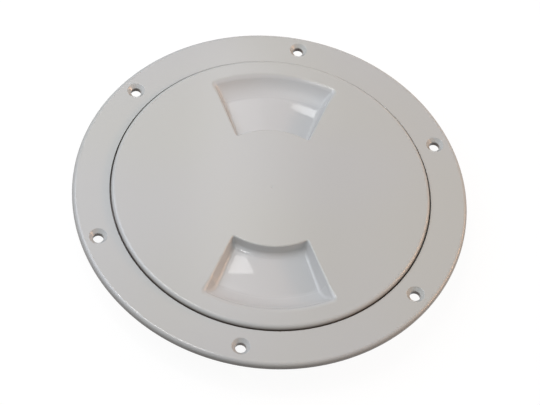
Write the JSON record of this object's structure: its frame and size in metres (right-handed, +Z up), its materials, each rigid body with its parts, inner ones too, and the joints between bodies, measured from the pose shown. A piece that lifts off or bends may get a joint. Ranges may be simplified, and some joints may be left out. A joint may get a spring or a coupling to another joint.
{
  "type": "access hatch",
  "caption": "Round screw-in deck access hatch: a flanged ring with countersunk screw holes and a threaded collar, and a sealed lid turned by two finger pockets.",
  "frame": {"origin": "centre of the screw circle, on the deck surface that the flange lies on", "axes": "+Z points up out of the deck along the hatch's axis; the two finger pockets lie along Y"},
  "size_m": [0.2, 0.2, 0.0233],
  "materials": {
    "ring_plastic": "moulded, satin",
    "lid_plastic": "moulded, satin face and polished finger pockets",
    "seal_rubber": "moulded, matt"
  },
  "bodies": {
    "ring": {"deck_ring": "ring_plastic"},
    "seal": {"lid_seal": "seal_rubber"},
    "cover": {"lid": "lid_plastic"}
  },
  "joints": [
    {"name": "lid_lift", "type": "slide", "parent": "ring", "child": "seal", "axis": [0, 0, 1], "range_m": [0, 0.018]},
    {"name": "lid_turn", "type": "hinge", "parent": "seal", "child": "cover", "pos_m": [0, 0, 0], "axis": [0, 0, 1], "range_deg": [0, 1080]}
  ],
  "couplings": [
    {"joint": "lid_lift", "follows": "lid_turn", "m_per_rad": 0.00095493}
  ]
}
